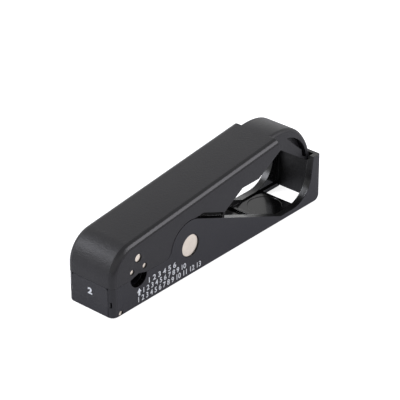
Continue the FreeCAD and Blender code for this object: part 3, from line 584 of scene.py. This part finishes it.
def spring_line():
    """Centre line of the torsion spring: a straight leg along the base's floor to where it touches the coil's
    circle, a helix about the pivot, and a straight leg that leaves the circle for the lever's roof."""
    low_end = np.array([LEG_REACH, -FLOOR_DROP])
    high_end = np.array([
        LEG_REACH * math.cos(LEVER_TILT) - ROOF_RISE * math.sin(LEVER_TILT),
        LEG_REACH * math.sin(LEVER_TILT) + ROOF_RISE * math.cos(LEVER_TILT),
    ])
    low_angle = math.atan2(low_end[1], low_end[0]) - math.acos(COIL_RADIUS / np.linalg.norm(low_end))
    high_angle = math.atan2(high_end[1], high_end[0]) + math.acos(COIL_RADIUS / np.linalg.norm(high_end))
    turned = low_angle - high_angle + 2 * math.pi * (SPRING_TURNS + 1)
    share = np.linspace(0, 1, COIL_POINTS)[:, None]
    angle = low_angle - share * turned
    height = COIL_HALF_HEIGHT * (2 * share - 1)
    coil = np.hstack([COIL_RADIUS * np.cos(angle), height, COIL_RADIUS * np.sin(angle)])
    span = np.linspace(0, 1, LEG_POINTS, endpoint=False)[:, None]
    climb = 2 * COIL_HALF_HEIGHT / (turned * COIL_RADIUS)
    low_drift = climb * np.linalg.norm(low_end - coil[0, ::2])
    high_drift = climb * np.linalg.norm(high_end - coil[-1, ::2])
    low_tip = np.array([low_end[0], -COIL_HALF_HEIGHT - low_drift, low_end[1]])
    high_tip = np.array([high_end[0], COIL_HALF_HEIGHT + high_drift, high_end[1]])
    low_leg = low_tip + span * (coil[0] - low_tip)
    high_leg = high_tip + span[::-1] * (coil[-1] - high_tip)
    return np.vstack([low_leg, coil, high_leg]) + PIVOT


def wire_along(line, radius):
    """A round wire: circles of the radius across the line, in the frame of its tangent and the pivot's axis.
    It goes on past both ends of the line by half a radius, and is drawn in nearly to a point there."""
    tangent = np.gradient(line, axis=0)
    tangent /= np.linalg.norm(tangent, axis=1)[:, None]
    across = np.cross(PIVOT_AXIS, tangent)
    across /= np.linalg.norm(across, axis=1)[:, None]
    beside = np.cross(tangent, across)
    leads = END_LEADS[:, None] * radius
    low_centres = line[0] - leads * tangent[0]
    high_centres = line[-1] + leads[::-1] * tangent[-1]
    centres = np.vstack([low_centres, line[1:-1], high_centres])
    steps = np.concatenate([[0, 0, 0], np.arange(1, len(line) - 1), [-1, -1, -1]])
    widths = np.full(len(centres), radius)
    widths[:2] = END_WIDTHS * radius
    widths[-2:] = END_WIDTHS[::-1] * radius
    ring = np.cos(ROUND_WIRE)[None, :, None] * across[steps][:, None, :]
    ring = ring + np.sin(ROUND_WIRE)[None, :, None] * beside[steps][:, None, :]
    points = centres[:, None, :] + widths[:, None, None] * ring
    rows, sides = points.shape[:2]
    index = np.arange(rows * sides).reshape(rows, sides)
    turned = np.roll(index, -1, axis=1)
    quads = np.stack([index[:-1], turned[:-1], turned[1:], index[1:]], axis=-1).reshape(-1, 4).tolist()
    ends = [index[0, ::-1].tolist(), index[-1].tolist()]
    mesh = bpy.data.meshes.new("Torsion spring wire")
    mesh.from_pydata(points.reshape(-1, 3).tolist(), [], quads + ends)
    mesh.polygons.foreach_set("use_smooth", np.ones(len(mesh.polygons), bool))
    mesh.update()
    return mesh


def make_torsion_spring():
    """The wound wire that opens the ring: one leg lies along the base's floor and the other reaches the
    lever's roof; the wire is one fixed piece.
    """
    piece = bpy.data.objects.new("torsion_spring_wire", wire_along(spring_line(), WIRE))
    bpy.context.scene.collection.objects.link(piece)
    piece.data.materials.append(SPRING_STEEL)
    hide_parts("torsion_spring")
    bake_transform(piece)


make_torsion_spring()


# Table, light and camera

WHITE = (1.0, 1.0, 1.0, 1)
TABLE_HALF = 6.0
TABLE_DROP = 0.02 * MM
TABLE_COLOUR = (0.86, 0.86, 0.86, 1)
TABLE_ROUGHNESS = 0.9
TABLE_SPECULAR = 0.1
TABLE_MIRRORED_TINT = (0.95, 0.96, 1.08, 1)
TABLE_SEEN = 0.8
# The table's glow in mirrors is painted light; its lower glow under and behind the tool is painted shade.
TABLE_MIRRORED_NEAR = 0.02
TABLE_MIRRORED_BESIDE = 0.39
TABLE_MIRRORED_UNDER = 0.34
BESIDE_TOOL = (-75.0 * MM, -45.0 * MM)
UNDER_TOOL = (-38.0 * MM, -12.0 * MM)
SKY_LIGHT = 0.35
SKY_SEEN = 0.65
SKY_MIRRORED_HIGH = 0.34
SKY_MIRRORED_LOW = 0.64
SKY_RISES = (0.6, 0.9)


def make_table():
    """Pale table that reads as white to the camera and keeps the tool's shadow. Mirrored in shiny pieces it
    glows with painted light: dark far out on the near side, light close beside the tool, and a little less so
    under and behind as painted shade."""
    corners = TABLE_HALF * np.array([(-1, -1), (1, -1), (1, 1), (-1, 1)], float)
    verts = [(x, y, -TABLE_DROP) for x, y in corners]
    mesh = bpy.data.meshes.new("Table")
    mesh.from_pydata(verts, [], [(0, 1, 2, 3)])
    table = bpy.data.objects.new("Table", mesh)
    bpy.context.scene.collection.objects.link(table)
    material, tree, shader, place = new_material("Table top")
    set_input(shader, "Base Color", TABLE_COLOUR)
    set_input(shader, "Roughness", TABLE_ROUGHNESS)
    set_input(shader, "Specular IOR Level", TABLE_SPECULAR)
    paths = tree.nodes.new("ShaderNodeLightPath").outputs
    tint = mix_colours(tree, paths["Is Camera Ray"], TABLE_MIRRORED_TINT, WHITE)
    mirrored = math_node(tree, "MAXIMUM", paths["Is Glossy Ray"], paths["Is Transmission Ray"])
    across = split_place(tree, place)["Y"]
    # Painted shade: the mirrored glow is lowered under and behind the tool.
    under_tool = step_over(tree, across, UNDER_TOOL)
    near_light = blend_numbers(tree, under_tool, TABLE_MIRRORED_BESIDE, TABLE_MIRRORED_UNDER)
    beside_tool = step_over(tree, across, BESIDE_TOOL)
    lit = math_node(tree, "MULTIPLY_ADD", beside_tool, near_light, TABLE_MIRRORED_NEAR)
    seen = product(tree, paths["Is Camera Ray"], TABLE_SEEN)
    glow = math_node(tree, "MAXIMUM", seen, product(tree, mirrored, lit))
    link(tree, tint, shader.inputs["Emission Color"])
    link(tree, glow, shader.inputs["Emission Strength"])
    mesh.materials.append(material)


def make_sky():
    """White surroundings: white to the camera, and to shiny pieces white low down and softer above."""
    world = bpy.data.worlds.new("Studio")
    bpy.context.scene.world = world
    world.use_nodes = True
    tree = world.node_tree
    paths = tree.nodes.new("ShaderNodeLightPath").outputs
    background = tree.nodes["Background"]
    set_input(background, "Color", WHITE)
    way = split_place(tree, tree.nodes.new("ShaderNodeTexCoord").outputs["Generated"])
    lower = remainder(tree, step_over(tree, way["Z"], SKY_RISES))
    mirrored_light = blend_numbers(tree, lower, SKY_MIRRORED_HIGH, SKY_MIRRORED_LOW)
    mirrored = product(tree, mirrored_light, paths["Is Glossy Ray"])
    seen = math_node(tree, "MAXIMUM", paths["Is Camera Ray"], paths["Is Transmission Ray"])
    shown = math_node(tree, "MAXIMUM", product(tree, seen, SKY_SEEN), mirrored)
    link(tree, math_node(tree, "ADD", shown, SKY_LIGHT), background.inputs["Strength"])


def make_lamp(name, place, aim, size, watts, colour):
    """A rectangular softbox that faces its aim."""
    light = bpy.data.lights.new(name, "AREA")
    light.shape = "RECTANGLE"
    light.size, light.size_y = size
    light.energy = watts
    light.color = colour
    lamp = bpy.data.objects.new(name, light)
    lamp.location = place
    lamp.rotation_euler = (Vector(aim) - Vector(place)).to_track_quat("-Z", "Y").to_euler()
    bpy.context.scene.collection.objects.link(lamp)


CAMERA_PLACE = Vector((-0.466969, -0.410000, 0.369341))
CAMERA_AIM = Vector((0.000966, 0.000169, 0.017680))
FOCAL_LENGTH_MM = 193.17
SENSOR_WIDTH_MM = 36.0


def make_camera():
    """The photograph's view: 49 degrees round from the printed side, 29 degrees above the table."""
    data = bpy.data.cameras.new("Camera")
    data.lens = FOCAL_LENGTH_MM
    data.sensor_width = SENSOR_WIDTH_MM
    data.sensor_fit = "HORIZONTAL"
    data.clip_start = 10.0 * MM
    camera = bpy.data.objects.new("Camera", data)
    camera.location = CAMERA_PLACE
    camera.rotation_euler = (CAMERA_AIM - CAMERA_PLACE).to_track_quat("-Z", "Y").to_euler()
    bpy.context.scene.collection.objects.link(camera)
    bpy.context.scene.camera = camera


make_table()
make_sky()
make_lamp(
    "Back left softbox",
    place=(-0.64, 0.68, 0.73),
    aim=(0, 0, 0.01),
    size=(0.50, 0.50),
    watts=6.6,
    colour=(0.97, 0.98, 1.06),
)
make_lamp(
    "Near right softbox",
    place=(0.57, -0.93, 0.60),
    aim=(0, 0, 0.02),
    size=(0.65, 0.95),
    watts=6.0,
    colour=(1.0, 0.975, 1.05),
)
make_lamp(
    "Far rim softbox",
    place=(1.0, 0.72, 0.25),
    aim=(0, 0, 0.03),
    size=(0.45, 0.22),
    watts=0.35,
    colour=(1.0, 1.0, 1.0),
)
make_camera()
bpy.context.scene.view_settings.view_transform = "Standard"
